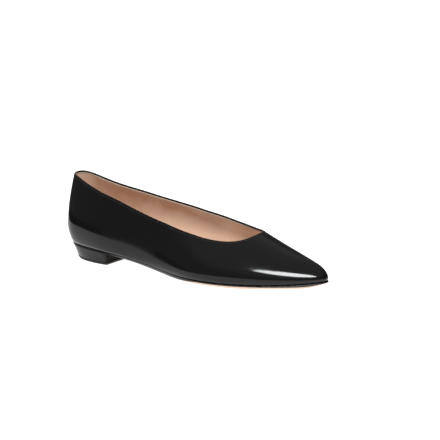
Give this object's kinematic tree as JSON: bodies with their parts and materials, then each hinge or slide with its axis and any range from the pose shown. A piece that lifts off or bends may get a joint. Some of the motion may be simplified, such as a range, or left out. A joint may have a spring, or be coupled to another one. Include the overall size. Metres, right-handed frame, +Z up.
{
  "type": "flat shoe",
  "caption": "Women's pointed-toe patent leather flat for the right foot, with an open instep, nude lining and a low covered block heel.",
  "frame": {"origin": "on the floor, under the middle of the shoe's box", "axes": "+X from the heel to the toe, +Y to the inner side of the foot, +Z up"},
  "size_m": [0.2638, 0.0802, 0.0773],
  "materials": {
    "upper": "black patent, high gloss",
    "insole": "nude, smooth, matte",
    "outsole": "nude underside, black edge, satin",
    "heel": "black leather cover, gloss",
    "top_lift": "black, matte"
  },
  "bodies": {
    "root": {"upper": "upper", "insole": "insole", "outsole": "outsole", "heel": "heel", "top_lift": "top_lift"}
  },
  "joints": []
}
